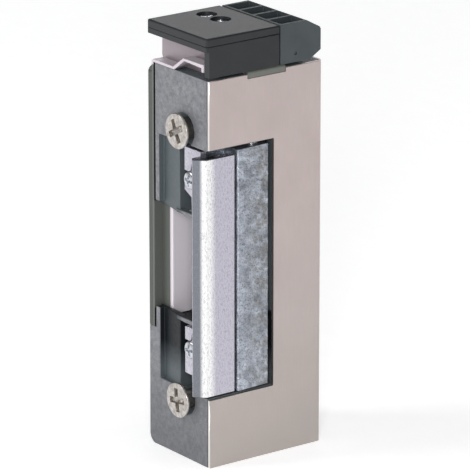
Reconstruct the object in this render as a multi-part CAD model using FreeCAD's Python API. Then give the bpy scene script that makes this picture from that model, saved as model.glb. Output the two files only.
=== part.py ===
import FreeCAD, Part

import math
import os

# Compact electric door strike.  Units are millimetres, +Z is up.
# Origin: centre of the housing's bottom face.  The front (latch) side faces -Y, the window side +X.

# ---- overall sizes -------------------------------------------------------------------------
WIDTH = 20.4
DEPTH = 28.0
HEIGHT = 80.0
XL, XR = -WIDTH / 2, WIDTH / 2
YF, YB = -DEPTH / 2, DEPTH / 2
SHEET = 0.6                      # cover and side sheet
PLATE = 1.2                      # outer side plate
FIT = 0.02                       # running fit, radial
SLIDE_GAP = 0.05                 # flat sliding clearance

# ---- housing -------------------------------------------------------------------------------
CAST_R = XR - SHEET              # right side of the casting, under the cover
CAST_B = YB - SHEET              # back of the casting, under the cover's back flange
SEAT_L = XL + PLATE + SHEET      # left side of the casting, under the side sheet
SEAT_Z = 25.0                    # the casting is full width below this height
LIP_GROOVE = 0.45                # relief behind the left lip's front edge
LIP_R = SEAT_L + 1.7             # inner edge of the left lip
GUIDE_X, GUIDE_F, GUIDE_B = XL + 5.0, YF + 2.0, YF + 7.4     # latch guide folded in from the side sheet
BAY_Z0, BAY_Z1 = 14.5, 65.7      # front opening
BAY_L = LIP_R + 6.6              # left wall of the keeper bay
BAY_BACK = YF + 16.1
CAVITY_Z0, CAVITY_Z1 = 29.4, 50.9    # latch cavity
CAVITY_BACK = BAY_BACK - 3.6
CAVITY_SUMP = CAVITY_Z0 - 1.6    # the cavity is deeper behind its front web
WEB_BACK = YF + 1.95             # back of that web
LIP_CUT = 0.8                    # the left lip ends this much above the cavity
EDGE_GROOVE = (0.2, 0.5)         # groove between the casting's front edge and the cover
RAMP_IN = 1.3                    # ledge depth at the lip
WALL = 1.2
WINDOW_B = YF + 15.8             # back edge of the cover's window
ROOM_Y0, ROOM_Y1 = BAY_BACK + 0.9, CAST_B - WALL     # mechanism room behind the bay
ROOM_L = SEAT_L + 1.7
ROOM_Z0, ROOM_Z1 = 18.0, 76.5
PIN_Y0, PIN_Y1 = BAY_BACK + 0.3, ROOM_Y1 + 0.8      # ends of the pins that cross the room

# ---- front flange on the top ---------------------------------------------------------------
FLANGE_STEP = 2.4                # height of the raised part
FLANGE_X0, FLANGE_X1 = XL + 8.4, XR - 1.9

# ---- faceplate screws ----------------------------------------------------------------------
FIX_X = XL + 11.85
FIX_SPAN = 56.0
FIX_Z = (BAY_Z0 - 2.05, BAY_Z0 - 2.05 + FIX_SPAN)
FIX_R = 2.0
FIX_HEAD_R = 3.62
FIX_RIM, FIX_TAPER = 0.45, 1.15  # rim and taper of the countersunk head
FIX_PROUD = 1.95                 # how far the head's face stands off the housing
FIX_DEPTH = 11.0
FIX_TURN = (8.0, 28.0)

# ---- keeper --------------------------------------------------------------------------------
HUB_X, HUB_Y, HUB_R = XR - 2.9, YF + 12.4, 2.4
PIN_R = 1.5
PIN_Z0, PIN_Z1 = 8.0, 73.0
KEEP_Z0, KEEP_Z1 = BAY_Z0 + 0.45, BAY_Z1 - 0.65
KEEP_F = YF + 6.95               # front of the textured lever face
KEEP_B = YF + 14.9               # back edge of that face
KEEP_LEAN = 0.5                  # the face leans in this much towards the hub
ARM_L, ARM_R = XL + 12.1, XR - 4.5
EAR_T = 1.4
ARM_F = YF + EAR_T + SLIDE_GAP
LEDGES = (0.9, 0.75)              # thickness of the ledges below and above the latch cavity
ARM_ZONES = ((KEEP_Z0 + 0.6, CAVITY_Z0 - LEDGES[0] - 0.15), (CAVITY_Z1 + LEDGES[1] + 0.15, KEEP_Z1))
EAR_ZONES = ((BAY_Z0 + 3.4, CAVITY_Z0 - LEDGES[0] - 0.6), (CAVITY_Z1 + 2.6, BAY_Z1 - 0.45))
EAR_DROPS = (0.2, 2.8)           # slant of each ear's lower edge
NOSE_Z0, NOSE_Z1 = BAY_Z0 + 0.7, BAY_Z1 - 1.5
NOSE_B = YF + 6.4
NOSE_L = XR - 3.4
NOSE_PROUD = 2.6
NOSE_BEVEL = 1.9
CLAMP_X = ARM_L + 3.0
CLAMP_HEAD_R = 1.85
CLAMP_Z = (CAVITY_Z0 - 5.6, CAVITY_Z1 + 8.1)
DISH_R, DISH_X, DISH_UP, DISH_T = 3.4, ARM_L + 5.5, 1.5, 0.3    # shallow dish round each clamp screw
CLAMP_HEAD_H = 1.3
CLAMP_R = 1.25
SPRING_Z0, SPRING_Z1 = 34.0, 47.0
SPRING_WIRE, SPRING_R = 0.3, 2.15    # wire radius and outer radius
TOE_X, TOE_Y, TOE_R = HUB_X - 6.3, HUB_Y + 6.2, 1.0
TOE_Z0, TOE_Z1 = 61.8, 64.6
TOE_W = 2.2

# ---- locking pawl, armature and magnet -----------------------------------------------------
PAWL_X, PAWL_Z, PAWL_R = -3.0, 54.6, 1.9
PAWL_PIN_R = 1.0
PAWL_Y0, PAWL_Y1 = ROOM_Y0 + 0.3, ROOM_Y0 + 4.4
PAWL_GAP = 0.3                   # toe to pawl face at rest
PAWL_TOP = 64.2
PAWL_TIP_Z = 51.0
PAWL_SEAT = 0.9                  # spring seat to the left of the pivot
ARM_HINGE_X, ARM_HINGE_Z, ARM_BARREL_R = 8.0, 52.2, 1.3
ARM_PIN_R = 0.7
ARM_T = 1.2
ARM_Z = ARM_HINGE_Z - 0.4 - ARM_T        # underside of the armature plate
ARM_END = -3.1
MAG_Y = (ROOM_Y0 + ROOM_Y1) / 2
MAG_W = 7.6
CORE_X, CORE_R = 1.6, 2.0
CORE_TOP = 49.5
YOKE_T = 1.5
YOKE_Z0 = 20.0
YOKE_R = CAST_R - 0.5
YOKE_TOP = 50.3
BOB_SIZE = 8.6
BOB_FLANGE = 0.9
BOB_TUBE_R = 2.6
COIL_R = 4.1
BOB_Z0, BOB_Z1 = YOKE_Z0 + YOKE_T, 48.4

# ---- terminal unit on the top --------------------------------------------------------------
TOP_Z = HEIGHT + SHEET           # seat of the terminal unit
LID_Z0, LID_Z1 = HEIGHT + 5.9, HEIGHT + 8.7
LID_SEAM = HEIGHT + 7.1
LID_GROOVE = 0.12
LID_F, LID_B = YF - 0.6, YF + 17.1
LID_L = XL + 0.6
CAP_WALL = 1.7
BASE_F = YF + 3.6
SCREW_X = (XL + 4.9, XL + 9.5)
SCREW_Y = YF + 10.8
SCREW_HOLE_R = 2.1
SCREW_HEAD_R = 1.85
PLUG_F, PLUG_B = LID_B + 0.3, YF + 27.3
PLUG_L = XL + 1.0
PLUG_Z1 = LID_Z1
PLUG_CHAMBERS = 4
PLUG_RIB = 0.75
PLUG_Z0 = TOP_Z + SLIDE_GAP
STRAP_Y = 4.6                    # half length of the strap that hooks over the cover
STRAP_HOOK = 0.85
TAB_Y, RELIEF = 3.4, 0.4         # clamp bracket behind the front flange, and the slit beside it
COVER_SCREW_Z = (9.0, 74.3)
COVER_SCREW_R = 1.25
RIVET_R = 1.5
RIVETS = ((8.0, 30.0), (8.0, 73.0), (-3.5, 73.0), (-3.5, 27.2))
LEAD_X, LEAD_Y, LEAD_UP_Y = -5.3, MAG_Y + BOB_SIZE / 2 - 0.6, LID_B - 1.3
BLADE_Z, BLADE_H, BLADE_T = TOP_Z + 2.6, 1.2, 0.6


# ---- helpers -------------------------------------------------------------------------------
def vec(x, y, z):
    return FreeCAD.Vector(x, y, z)


def box(x0, x1, y0, y1, z0, z1):
    return Part.makeBox(x1 - x0, y1 - y0, z1 - z0, vec(x0, y0, z0))


def cyl(radius, start, length, axis):
    return Part.makeCylinder(radius, length, vec(*start), vec(*axis))


def cone(r0, r1, start, length, axis):
    return Part.makeCone(r0, r1, length, vec(*start), vec(*axis))


def prism(points, z0, z1):
    """Straight prism over a plan outline given as (x, y) pairs."""
    wire = Part.makePolygon([vec(x, y, z0) for x, y in points + points[:1]])
    return Part.Face(wire).extrude(vec(0, 0, z1 - z0))


def side_prism(points, y0, y1):
    """Straight prism over a front outline given as (x, z) pairs."""
    wire = Part.makePolygon([vec(x, y0, z) for x, z in points + points[:1]])
    return Part.Face(wire).extrude(vec(0, y1 - y0, 0))


def end_prism(points, x0, x1):
    """Straight prism over a side outline given as (y, z) pairs."""
    wire = Part.makePolygon([vec(x0, y, z) for y, z in points + points[:1]])
    return Part.Face(wire).extrude(vec(x1 - x0, 0, 0))


def join(shapes):
    out = shapes[0]
    for extra in shapes[1:]:
        out = out.fuse(extra)
    return out.removeSplitter()


def soften(shape, radius, test):
    """Round the straight edges whose midpoint passes the test."""
    edges = [e for e in shape.Edges if test(e.CenterOfMass, e)]
    return shape.makeFillet(radius, edges)


def along(edge, axis):
    d = edge.Vertexes[-1].Point.sub(edge.Vertexes[0].Point)
    size = max(d.Length, 1e-9)
    return abs(abs(getattr(d, axis)) / size - 1.0) < 1e-6 and len(edge.Vertexes) == 2


def near(value, target, tol=0.01):
    return abs(value - target) < tol


def coil_spring(coil_r, wire_r, length, turns, start, axis):
    """Round-wire helical spring whose wire centre line has radius coil_r."""
    rise = length - 2 * wire_r
    path = Part.makeHelix(rise / turns, rise, coil_r)
    circle = Part.Wire(Part.makeCircle(wire_r, vec(coil_r, 0, 0), vec(0, 1, 0)))
    spring = Part.Wire(path).makePipeShell([circle], True, True)
    turn = FreeCAD.Rotation(vec(0, 0, 1), vec(*axis))
    spring.Placement = FreeCAD.Placement(vec(*start) + vec(*axis) * wire_r, turn)
    return spring


def rod_path(points, radius):
    """Round rod through the given points, with ball corners."""
    parts = []
    for a, b in zip(points, points[1:]):
        d = vec(*b).sub(vec(*a))
        parts.append(Part.makeCylinder(radius, d.Length, vec(*a), d))
    for p in points[1:-1]:
        parts.append(Part.makeSphere(radius, vec(*p)))
    return join(parts)


def cross_recess(reach, width, depth, centre, turn):
    """Tapered cross that cuts into a head facing -Y, turned about Y by turn degrees."""
    x, y, z = centre
    cutters = []
    for angle in (0, 90):
        half = reach
        outline = [(-half, y - 0.1), (half, y - 0.1), (half * 0.45, y + depth), (-half * 0.45, y + depth)]
        blade = prism([(px, py) for px, py in outline], -width / 2, width / 2)
        blade.rotate(vec(0, 0, 0), vec(0, 1, 0), angle + turn)
        cutters.append(blade)
    tool = cutters[0].fuse(cutters[1])
    tool.translate(vec(x, 0, z))
    return tool


# ---- housing -------------------------------------------------------------------------------
def housing():
    body = box(SEAT_L, CAST_R, YF, CAST_B, 0, HEIGHT)
    body = body.fuse(box(XL, SEAT_L, YF, CAST_B, 0, SEAT_Z)).removeSplitter()
    body = soften(body, 2.0, lambda c, e: along(e, "y") and near(c.x, XL) and near(c.z, 0))
    body = soften(body, 0.4, lambda c, e: along(e, "z") and near(c.y, YF) and c.x > 0)
    body = soften(body, 0.8, lambda c, e: along(e, "z") and near(c.y, CAST_B))
    body = body.cut(box(SEAT_L - 1, SEAT_L + LIP_GROOVE, YF - 1, YF + 1.6, SEAT_Z, HEIGHT + 1))

    bay = box(BAY_L, XR, YF - 1, BAY_BACK, BAY_Z0, BAY_Z1)
    bay = soften(bay, 1.0, lambda c, e: along(e, "z") and near(c.y, BAY_BACK))
    pocket = prism([(LIP_R, YF - 1), (LIP_R, YF + RAMP_IN), (ARM_L, YF), (ARM_L, YF - 1)],
                   BAY_Z0, BAY_Z1)
    cavity = box(XL - 1, ARM_R + 1, YF - 1, CAVITY_BACK, CAVITY_Z0, CAVITY_Z1)
    cavity = cavity.fuse(box(XL - 1, BAY_L, WEB_BACK, CAVITY_BACK, CAVITY_SUMP, CAVITY_Z1))
    cavity = cavity.fuse(box(XL - 1, LIP_R, YF - 1, YF + 1.6, CAVITY_Z0, CAVITY_Z1 + LIP_CUT))
    body = body.cut(bay).cut(pocket)
    for z0, z1 in ((CAVITY_Z0 - LEDGES[0], CAVITY_Z0), (CAVITY_Z1, CAVITY_Z1 + LEDGES[1])):
        shelf = prism([(BAY_L - 1, YF + 0.2), (ARM_L, YF), (ARM_R, YF), (ARM_R, YF + 1.2),
                       (BAY_L - 1, YF + 1.4)], z0, z1)
        body = body.fuse(shelf)
    body = body.cut(cavity)

    body = body.cut(box(CAST_R - EDGE_GROOVE[0], XR, YF - 1, YF + EDGE_GROOVE[1], -1, HEIGHT + 1))

    room = box(ROOM_L, XR, ROOM_Y0, ROOM_Y1, ROOM_Z0, ROOM_Z1)
    room = soften(room, 0.8, lambda c, e: along(e, "x"))
    toe_room = box(ROOM_L + 1.6, HUB_X, HUB_Y - 3.4, ROOM_Y0 + 1, TOE_Z0 - 0.5, TOE_Z1 + 0.7)
    body = body.cut(room).cut(toe_room)

    body = body.cut(cyl(PIN_R, (HUB_X, HUB_Y, PIN_Z0), HEIGHT, (0, 0, 1)))
    for z in FIX_Z:
        body = body.cut(cyl(FIX_R, (FIX_X, YF - 1, z), FIX_DEPTH + 1, (0, 1, 0)))
        body = body.cut(cone(FIX_HEAD_R, FIX_R, (FIX_X, YF, z), FIX_HEAD_R - FIX_R, (0, 1, 0)))
    for x, z in ((PAWL_X, PAWL_Z), (ARM_HINGE_X, ARM_HINGE_Z)):
        radius = PAWL_PIN_R if near(x, PAWL_X) else ARM_PIN_R
        body = body.cut(cyl(radius, (x, PIN_Y0, z), PIN_Y1 - PIN_Y0, (0, 1, 0)))
    for z in COVER_SCREW_Z:
        body = body.cut(cyl(COVER_SCREW_R, (0, CAST_B - 5, z), 6, (0, 1, 0)))
        body = body.cut(cone(COVER_SCREW_R + 1.0, COVER_SCREW_R, (0, YB, z), 1.0, (0, -1, 0)))
    for y, z in RIVETS:
        body = body.cut(cyl(RIVET_R, (SEAT_L - 1, y, z), 2.6, (1, 0, 0)))
    body = body.cut(box(LEAD_X - 1.2, LEAD_X + 1.2, LEAD_UP_Y - 0.6, ROOM_Y0 + 1, ROOM_Z1 - 2.2, ROOM_Z1))
    body = body.cut(box(LEAD_X - 1.2, LEAD_X + 1.2, LEAD_UP_Y - 0.6, LEAD_UP_Y + 0.6, ROOM_Z1 - 1, HEIGHT + 1))
    return body.removeSplitter()


# ---- sheets --------------------------------------------------------------------------------
def right_cover():
    side = box(CAST_R, XR, YF, YB, 0, HEIGHT)
    back = box(XL + 0.4, CAST_R, CAST_B, YB, 0, HEIGHT)
    cover = join([side, back])
    cover = soften(cover, 1.2, lambda c, e: along(e, "z") and near(c.x, XR) and near(c.y, YB))
    cover = soften(cover, 1.5, lambda c, e: along(e, "y") and near(c.x, XL + 0.4))
    window = box(CAST_R - 1, XR + 1, YF - 1, WINDOW_B, BAY_Z0 - 0.2, BAY_Z1 + 0.35)
    window = soften(window, 0.3, lambda c, e: along(e, "x") and near(c.y, WINDOW_B))
    notch = box(CAST_R - 1, XR + 1, -STRAP_Y - 0.1, STRAP_Y + 0.1, HEIGHT - STRAP_HOOK - 0.05, HEIGHT + 1)
    cover = cover.cut(window).cut(notch)
    for z in COVER_SCREW_Z:
        cover = cover.cut(cone(COVER_SCREW_R + 1.0, COVER_SCREW_R, (0, YB, z), 1.0, (0, -1, 0)))
        cover = cover.cut(cyl(COVER_SCREW_R, (0, CAST_B - 1, z), 3, (0, 1, 0)))
    return cover


def cover_screws():
    out = []
    for z in COVER_SCREW_Z:
        head = cone(COVER_SCREW_R + 1.0, COVER_SCREW_R, (0, YB, z), 1.0, (0, -1, 0))
        shank = cyl(COVER_SCREW_R, (0, CAST_B - 4.8, z), 4.9, (0, 1, 0))
        slot = box(-3, 3, YB - 0.45, YB + 1, z - 0.3, z + 0.3)
        out.append(join([head, shank]).cut(slot))
    return Part.makeCompound(out)


def left_outer_plate():
    plate = box(XL, XL + PLATE, YF, CAST_B, SEAT_Z, HEIGHT - 1.0)
    plate = soften(plate, 1.4, lambda c, e: along(e, "x") and c.z > SEAT_Z + 1)
    for y, z in RIVETS:
        plate = plate.cut(cyl(RIVET_R, (XL - 1, y, z), 4, (1, 0, 0)))
    return plate


def left_side_sheet():
    x0 = XL + PLATE
    x1 = x0 + SHEET
    main = box(x0, x1, YF, CAST_B, SEAT_Z, HEIGHT)
    z0, z1 = CAVITY_SUMP + 0.15, CAVITY_Z1 - 0.3
    window = box(x0 - 1, x1 + 1, GUIDE_F + SHEET, GUIDE_B + 0.6, z0, z1)
    main = main.cut(window)
    flange = box(x0, GUIDE_X, GUIDE_F, GUIDE_F + SHEET, z0, z1)
    guide = box(GUIDE_X - SHEET, GUIDE_X, GUIDE_F, GUIDE_B, z0, z1)
    guide = soften(guide, 1.2, lambda c, e: along(e, "x") and c.y > GUIDE_F + 1)
    bend = join([flange, guide])
    bend = soften(bend, 0.5, lambda c, e: along(e, "z") and near(c.x, GUIDE_X) and near(c.y, GUIDE_F))

    low, high = HEIGHT + SHEET, HEIGHT + SHEET + FLANGE_STEP
    xa, xe = FLANGE_X0, FLANGE_X1
    xb = xa + FLANGE_STEP + 1.0
    upper = [(x0, low), (xa, low), (xb, high), (xe, high), (xe, high - 1.5)]
    lower = [(xe - 0.6, high - 1.5), (xe - 0.6, high - SHEET), (xb + 0.35, high - SHEET),
             (xa + 0.35, low - SHEET), (x0, low - SHEET)]
    front = side_prism(upper + lower, YF, YF + TAB_Y - 2 * RELIEF)
    strap = side_prism([(x0, HEIGHT), (x0, low), (XR, low), (XR, HEIGHT - STRAP_HOOK),
                        (CAST_R, HEIGHT - STRAP_HOOK), (CAST_R, HEIGHT)], -STRAP_Y, STRAP_Y)
    strap = strap.cut(box(LEAD_X - 1.2, LEAD_X + 1.2, LEAD_UP_Y - 0.6, LEAD_UP_Y + 0.6, HEIGHT - 1, low + 1))
    strap = soften(strap, 0.5, lambda c, e: along(e, "y") and near(c.x, XR) and near(c.z, low))
    sheet = join([main, bend, front, strap])
    sheet = soften(sheet, SHEET - 0.05, lambda c, e: along(e, "y") and near(c.x, x0) and near(c.z, low))
    for y, z in RIVETS:
        sheet = sheet.cut(cyl(RIVET_R, (XL - 1, y, z), 4, (1, 0, 0)))
    return sheet


def terminal_bracket():
    """Upright front plate of the terminal unit, with one rounded lower corner."""
    plate = box(LID_L, XR - CAP_WALL, BASE_F - SHEET, BASE_F, HEIGHT, LID_Z0)
    return soften(plate, 1.1, lambda c, e: along(e, "y") and near(c.x, LID_L) and near(c.z, HEIGHT))


def side_rivets():
    out = []
    for y, z in RIVETS:
        shank = cyl(RIVET_R, (XL, y, z), SEAT_L + 1.6 - XL, (1, 0, 0))
        out.append(shank)
    return Part.makeCompound(out)


# ---- faceplate screws ----------------------------------------------------------------------
def fixing_screws():
    out = []
    face = YF - FIX_PROUD
    for z, turn in zip(FIX_Z, FIX_TURN):
        rim = cyl(FIX_HEAD_R, (FIX_X, face, z), FIX_RIM, (0, 1, 0))
        taper = cone(FIX_HEAD_R, FIX_R, (FIX_X, face + FIX_RIM, z), FIX_TAPER, (0, 1, 0))
        shank = cyl(FIX_R, (FIX_X, face + 1, z), FIX_DEPTH - 1.5 + FIX_PROUD, (0, 1, 0))
        screw = join([rim, taper, shank])
        screw = soften(screw, 0.15, lambda c, e: near(c.y, face) and len(e.Vertexes) == 1)
        out.append(screw.cut(cross_recess(2.3, 1.0, 1.7, (FIX_X, face, z), turn)))
    return Part.makeCompound(out)


# ---- keeper --------------------------------------------------------------------------------
def keeper_lever():
    """Hub, leaning outer face and the two arms that carry the nose."""
    hub = cyl(HUB_R, (HUB_X, HUB_Y, KEEP_Z0), KEEP_Z1 - KEEP_Z0, (0, 0, 1))
    lever = prism([(XR - 0.02, KEEP_F), (XR - KEEP_LEAN, KEEP_B), (HUB_X, KEEP_B),
                   (HUB_X - HUB_R + 0.1, HUB_Y), (NOSE_L, KEEP_F)], KEEP_Z0, KEEP_Z1)
    lever = soften(lever, 0.45, lambda c, e: along(e, "z") and near(c.y, KEEP_F) and c.x > XR - 1)
    lever = soften(lever, 0.3, lambda c, e: along(e, "z") and near(c.y, KEEP_B) and c.x > XR - 1)
    parts = [hub, lever]
    for z0, z1 in ARM_ZONES:
        arm = prism([(ARM_L, ARM_F), (ARM_R - 0.1, ARM_F), (ARM_R - 0.1, KEEP_F), (NOSE_L + 0.5, KEEP_F),
                     (HUB_X, HUB_Y), (HUB_X - HUB_R, HUB_Y), (ARM_L, KEEP_F + 1.4)], z0, z1)
        parts.append(arm)
    dx, dy = TOE_X - HUB_X, TOE_Y - HUB_Y
    size = math.hypot(dx, dy)
    nx, ny = -dy / size * TOE_W / 2, dx / size * TOE_W / 2
    tip = TOE_R / (TOE_W / 2)
    toe = prism([(HUB_X + nx, HUB_Y + ny), (HUB_X - nx, HUB_Y - ny),
                 (TOE_X - nx * tip, TOE_Y - ny * tip), (TOE_X + nx * tip, TOE_Y + ny * tip)], TOE_Z0, TOE_Z1)
    parts += [toe, cyl(TOE_R, (TOE_X, TOE_Y, TOE_Z0), TOE_Z1 - TOE_Z0, (0, 0, 1))]
    lever = join(parts)
    spring_slot = cyl(SPRING_R + 0.05, (HUB_X, HUB_Y, SPRING_Z0), SPRING_Z1 - SPRING_Z0, (0, 0, 1))
    spring_slot = spring_slot.fuse(box(HUB_X - HUB_R - 1, HUB_X + 0.8, HUB_Y - SPRING_R, HUB_Y + HUB_R + 1,
                                       SPRING_Z0, SPRING_Z1))
    lever = lever.cut(spring_slot)
    lever = lever.cut(cyl(PIN_R + FIT, (HUB_X, HUB_Y, 0), HEIGHT, (0, 0, 1)))
    for z in CLAMP_Z:
        lever = lever.cut(cyl(CLAMP_R, (CLAMP_X, ARM_F - 1, z), 6.0, (0, 1, 0)))
    return lever


def keeper_nose():
    """Smooth front bar with a bevelled nose and two slotted ears."""
    tip_x, tip_y = XR - NOSE_BEVEL, YF - NOSE_PROUD
    bar = prism([(XR, NOSE_B), (XR, tip_y + NOSE_BEVEL), (tip_x, tip_y), (tip_x - 0.3, tip_y),
                 (NOSE_L, tip_y + 0.9), (NOSE_L, NOSE_B)], NOSE_Z0, NOSE_Z1)
    bar = soften(bar, 0.25, lambda c, e: along(e, "z") and c.y < tip_y + 0.1)
    bar = soften(bar, 0.9, lambda c, e: along(e, "z") and near(c.x, XR) and c.y < YF)
    bar = soften(bar, 0.5, lambda c, e: along(e, "z") and near(c.x, XR) and near(c.y, NOSE_B))
    dish_r = 6.0
    for z, side in ((NOSE_Z1, 1), (NOSE_Z0, -1)):
        dish = cyl(dish_r, (NOSE_L - 1, NOSE_B - 1.5, z + side * (dish_r - 0.6)), 3.6, (1, 0, 0))
        bar = bar.cut(dish)
    parts = [bar]
    for (z0, z1), drop, screw_z in zip(EAR_ZONES, EAR_DROPS, CLAMP_Z):
        outline = [(ARM_L, z0 + drop), (NOSE_L + 0.5, z0), (NOSE_L + 0.5, z1), (ARM_L, z1)]
        ear = side_prism(outline, YF, YF + EAR_T)
        parts.append(ear.cut(cyl(DISH_R, (DISH_X, YF - 1, screw_z + DISH_UP), 1 + DISH_T, (0, 1, 0))))
    nose = join(parts)
    for z in CLAMP_Z:
        slot_r = CLAMP_R + SLIDE_GAP
        right = CLAMP_X + slot_r
        slot = box(ARM_L - 1, right - slot_r, YF - 1, YF + EAR_T + 1, z - slot_r, z + slot_r)
        slot = slot.fuse(cyl(slot_r, (right - slot_r, YF - 1, z), EAR_T + 2, (0, 1, 0)))
        nose = nose.cut(slot)
    return nose


def keeper_clamp_screws():
    out = []
    under = YF - SLIDE_GAP
    for z in CLAMP_Z:
        head = cyl(CLAMP_HEAD_R, (CLAMP_X, under - CLAMP_HEAD_H, z), CLAMP_HEAD_H, (0, 1, 0))
        head = soften(head, 0.5, lambda c, e: near(c.y, under - CLAMP_HEAD_H) and len(e.Vertexes) == 1)
        shank = cyl(CLAMP_R, (CLAMP_X, under - 0.1, z), ARM_F + 4.6 - under, (0, 1, 0))
        slot = box(CLAMP_X - 3, CLAMP_X + 3, YF - 3, under - CLAMP_HEAD_H + 0.7, z - 0.3, z + 0.3)
        out.append(join([head, shank]).cut(slot))
    return Part.makeCompound(out)


def keeper_pin():
    return cyl(PIN_R, (HUB_X, HUB_Y, PIN_Z0), PIN_Z1 - PIN_Z0, (0, 0, 1))


def keeper_spring():
    coil_r = SPRING_R - SPRING_WIRE
    coil = coil_spring(coil_r, SPRING_WIRE, SPRING_Z1 - SPRING_Z0, 12, (HUB_X, HUB_Y, SPRING_Z0), (0, 0, 1))
    coil.rotate(vec(HUB_X, HUB_Y, 0), vec(0, 0, 1), 180)
    x = HUB_X - coil_r
    back = cyl(SPRING_WIRE, (x, HUB_Y, SPRING_Z0 + SPRING_WIRE), BAY_BACK - HUB_Y, (0, 1, 0))
    front = cyl(SPRING_WIRE, (x, HUB_Y, SPRING_Z1 - SPRING_WIRE), SPRING_R, (0, -1, 0))
    return join([coil, back, front])


# ---- locking pawl --------------------------------------------------------------------------
def locking_pawl():
    face = TOE_X - TOE_R - PAWL_GAP
    pad_z = TOE_Z0 + 0.2
    outline = [(PAWL_X - 1.5, PAWL_TIP_Z), (PAWL_X - 0.9, PAWL_TIP_Z), (PAWL_X - 0.4, PAWL_TIP_Z + 0.5),
               (PAWL_X + 1.2, PAWL_Z), (PAWL_X + 1.4, PAWL_Z + 4.0), (face - 1.2, pad_z - 0.6),
               (face, pad_z), (face, PAWL_TOP), (face - 1.6, PAWL_TOP), (PAWL_X - PAWL_SEAT, PAWL_Z + 5.7),
               (PAWL_X - PAWL_SEAT, PAWL_Z + 3.0)]
    pawl = side_prism(outline, PAWL_Y0, PAWL_Y1)
    pawl = join([pawl, cyl(PAWL_R, (PAWL_X, PAWL_Y0, PAWL_Z), PAWL_Y1 - PAWL_Y0, (0, 1, 0))])
    return pawl.cut(cyl(PAWL_PIN_R + FIT, (PAWL_X, 0, PAWL_Z), DEPTH, (0, 1, 0)))


def cross_pin(x, z, radius):
    return cyl(radius, (x, PIN_Y0, z), PIN_Y1 - PIN_Y0, (0, 1, 0))


def pawl_spring():
    z = PAWL_Z + 4.4
    return coil_spring(1.0, 0.18, PAWL_X - PAWL_SEAT - ROOM_L, 4, (ROOM_L, (PAWL_Y0 + PAWL_Y1) / 2, z), (1, 0, 0))


# ---- magnet --------------------------------------------------------------------------------
def magnet_yoke():
    y0, y1 = MAG_Y - MAG_W / 2, MAG_Y + MAG_W / 2
    foot = box(CORE_X - 4.6, YOKE_R, y0, y1, YOKE_Z0, YOKE_Z0 + YOKE_T)
    leg = box(YOKE_R - YOKE_T, YOKE_R, y0, y1, YOKE_Z0, YOKE_TOP)
    yoke = join([foot, leg])
    yoke = soften(yoke, 1.4, lambda c, e: along(e, "y") and near(c.x, YOKE_R) and near(c.z, YOKE_Z0))
    return yoke.cut(cyl(CORE_R, (CORE_X, MAG_Y, 0), HEIGHT, (0, 0, 1)))


def magnet_core():
    return cyl(CORE_R, (CORE_X, MAG_Y, YOKE_Z0), CORE_TOP - YOKE_Z0, (0, 0, 1))


def coil_bobbin():
    half = BOB_SIZE / 2
    tube = cyl(BOB_TUBE_R, (CORE_X, MAG_Y, BOB_Z0), BOB_Z1 - BOB_Z0, (0, 0, 1))
    parts = [tube]
    for z in (BOB_Z0, BOB_Z1 - BOB_FLANGE):
        parts.append(box(CORE_X - half, CORE_X + half, MAG_Y - half, MAG_Y + half, z, z + BOB_FLANGE))
    ear = box(LEAD_X - 1.1, CORE_X - half + 0.1, MAG_Y, MAG_Y + half, BOB_Z1 - BOB_FLANGE - 1.0, BOB_Z1)
    parts.append(ear)
    return join(parts).cut(cyl(CORE_R, (CORE_X, MAG_Y, 0), HEIGHT, (0, 0, 1)))


def coil_winding():
    z0, z1 = BOB_Z0 + BOB_FLANGE, BOB_Z1 - BOB_FLANGE
    winding = cyl(COIL_R, (CORE_X, MAG_Y, z0), z1 - z0, (0, 0, 1))
    return winding.cut(cyl(BOB_TUBE_R, (CORE_X, MAG_Y, 0), HEIGHT, (0, 0, 1)))


def magnet_pad():
    """Plastic pad that seats the magnet on the casting's floor."""
    return box(ROOM_L, YOKE_R, MAG_Y - 3.0, MAG_Y + 3.0, ROOM_Z0, YOKE_Z0)


def armature():
    y0, y1 = MAG_Y - MAG_W / 2, MAG_Y + MAG_W / 2
    bevel = 0.7
    plate = side_prism([(ARM_END, ARM_Z), (ARM_END, ARM_Z + ARM_T - bevel), (ARM_END + bevel, ARM_Z + ARM_T),
                        (ARM_HINGE_X, ARM_Z + ARM_T), (ARM_HINGE_X, ARM_Z)], y0, y1)
    barrel = cyl(ARM_BARREL_R, (ARM_HINGE_X, y0, ARM_HINGE_Z), MAG_W, (0, 1, 0))
    out = join([plate, barrel])
    return out.cut(cyl(ARM_PIN_R + FIT, (ARM_HINGE_X, 0, ARM_HINGE_Z), DEPTH, (0, 1, 0)))


def armature_spring():
    z0 = BOB_Z1
    return coil_spring(0.7, 0.15, ARM_Z - z0, 5, (CORE_X + 3.1, MAG_Y + 2.6, z0), (0, 0, 1))


def coil_leads():
    out = []
    half = 0.45
    for index, x in enumerate(SCREW_X):
        lx = LEAD_X + (index - 0.5) * 1.1
        turn_z, up_y, over_z = ROOM_Z1 - 1.4, LEAD_UP_Y, TOP_Z + 0.9
        points = [(lx, LEAD_Y, BOB_Z1), (lx, LEAD_Y, turn_z), (lx, up_y, turn_z), (lx, up_y, over_z),
                  (lx, up_y - 0.8 - index * 1.1, over_z), (x, up_y - 0.8 - index * 1.1, over_z),
                  (x, SCREW_Y + 1.9, over_z)]
        points = [p for p, q in zip(points, points[1:] + [None]) if p != q]
        out.append(rod_path(points, half))
    return Part.makeCompound(out)


def suppression_diode():
    z = ROOM_Z1 - 4.5
    y = ROOM_Y0 + 2.2
    body = cyl(1.3, (-0.5, y, z), 5.0, (1, 0, 0))
    wire = cyl(0.35, (-3.0, y, z), 10.0, (1, 0, 0))
    feet = [cyl(0.35, (x, y, z), ROOM_Z1 - z, (0, 0, 1)) for x in (-2.6, 6.6)]
    return join([body, wire] + feet)


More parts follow.
